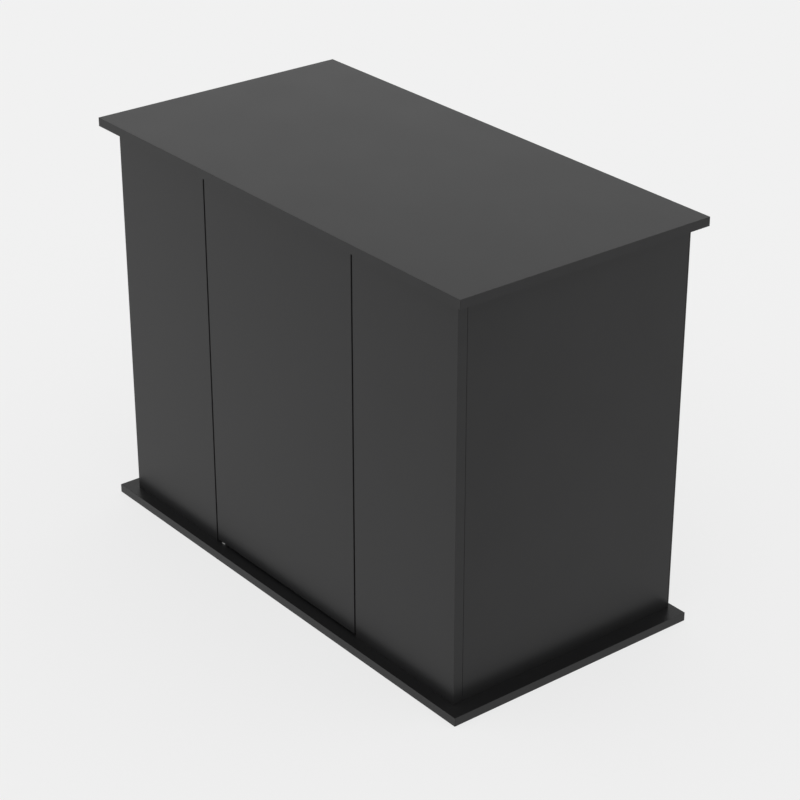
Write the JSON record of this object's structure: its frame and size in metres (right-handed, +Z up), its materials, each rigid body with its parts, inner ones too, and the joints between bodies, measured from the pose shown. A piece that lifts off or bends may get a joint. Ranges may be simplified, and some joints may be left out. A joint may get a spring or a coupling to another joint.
{
  "type": "aquarium stand cabinet",
  "caption": "Floor-standing flat-pack aquarium cabinet with overhanging top and base boards, fixed front panels and a handleless pivot door in the middle.",
  "frame": {"origin": "centre of the underside, on the floor", "axes": "+X to the right along the width, the door faces -Y, +Z up"},
  "size_m": [1, 0.518, 0.756],
  "materials": {
    "black_melamine": "satin black melamine foil on chipboard, fine pearl texture, matching edge banding",
    "hardboard": "thin hardboard with a black printed face",
    "beech": "plain beech",
    "nickel_plated_steel": "bright nickel plate",
    "zinc_plated_steel": "dull zinc",
    "nylon": "natural moulded nylon",
    "black_plastic": "matt moulded plastic",
    "magnet": "nickel-coated magnet"
  },
  "bodies": {
    "carcass": {"back_centre": "hardboard", "back_left": "hardboard", "back_right": "hardboard", "base_board": "black_melamine", "cam_bolt_left_divider_back": "zinc_plated_steel", "cam_bolt_left_divider_front": "zinc_plated_steel", "cam_bolt_left_side_back": "zinc_plated_steel", "cam_bolt_left_side_front": "zinc_plated_steel", "cam_bolt_right_divider_back": "zinc_plated_steel", "cam_bolt_right_divider_front": "zinc_plated_steel", "cam_bolt_right_side_back": "zinc_plated_steel", "cam_bolt_right_side_front": "zinc_plated_steel", "cam_left_divider_back": "zinc_plated_steel", "cam_left_divider_front": "zinc_plated_steel", "cam_left_side_back": "zinc_plated_steel", "cam_left_side_front": "zinc_plated_steel", "cam_right_divider_back": "zinc_plated_steel", "cam_right_divider_front": "zinc_plated_steel", "cam_right_side_back": "zinc_plated_steel", "cam_right_side_front": "zinc_plated_steel", "confirmat_left_divider_back": "zinc_plated_steel", "confirmat_left_divider_front": "zinc_plated_steel", "confirmat_left_side_back": "zinc_plated_steel", "confirmat_left_side_front": "zinc_plated_steel", "confirmat_right_divider_back": "zinc_plated_steel", "confirmat_right_divider_front": "zinc_plated_steel", "confirmat_right_side_back": "zinc_plated_steel", "confirmat_right_side_front": "zinc_plated_steel", "latch_housing": "black_plastic", "latch_screw_left": "zinc_plated_steel", "latch_screw_right": "zinc_plated_steel", "latch_spring": "zinc_plated_steel", "left_divider": "black_melamine", "left_front_panel": "black_melamine", "left_side": "black_melamine", "lower_pivot_pin": "nickel_plated_steel", "panel_dowel_lower_1": "beech", "panel_dowel_lower_2": "beech", "panel_dowel_lower_3": "beech", "panel_dowel_lower_4": "beech", "panel_dowel_upper_1": "beech", "panel_dowel_upper_2": "beech", "panel_dowel_upper_3": "beech", "panel_dowel_upper_4": "beech", "right_divider": "black_melamine", "right_front_panel": "black_melamine", "right_side": "black_melamine", "shelf": "black_melamine", "shelf_pin_left_back": "nickel_plated_steel", "shelf_pin_left_front": "nickel_plated_steel", "shelf_pin_right_back": "nickel_plated_steel", "shelf_pin_right_front": "nickel_plated_steel", "top_board": "black_melamine", "upper_pivot_pin": "nickel_plated_steel"},
    "door": {"door": "black_melamine", "strike_plate": "zinc_plated_steel", "lower_pivot_bush": "nylon", "upper_pivot_bush": "nylon"},
    "latch_plunger": {"latch_plunger": "nylon", "latch_magnet": "magnet"}
  },
  "joints": [
    {"name": "door_hinge", "type": "hinge", "parent": "carcass", "child": "door", "pos_m": [-0.1925, -0.229, 0.378], "axis": [0, 0, -1], "range_deg": [0, 125]},
    {"name": "latch_press", "type": "slide", "parent": "carcass", "child": "latch_plunger", "axis": [0, 1, 0], "range_m": [0, 0.004], "stiffness_N_per_m": 800, "deforming": ["latch_spring"]}
  ]
}
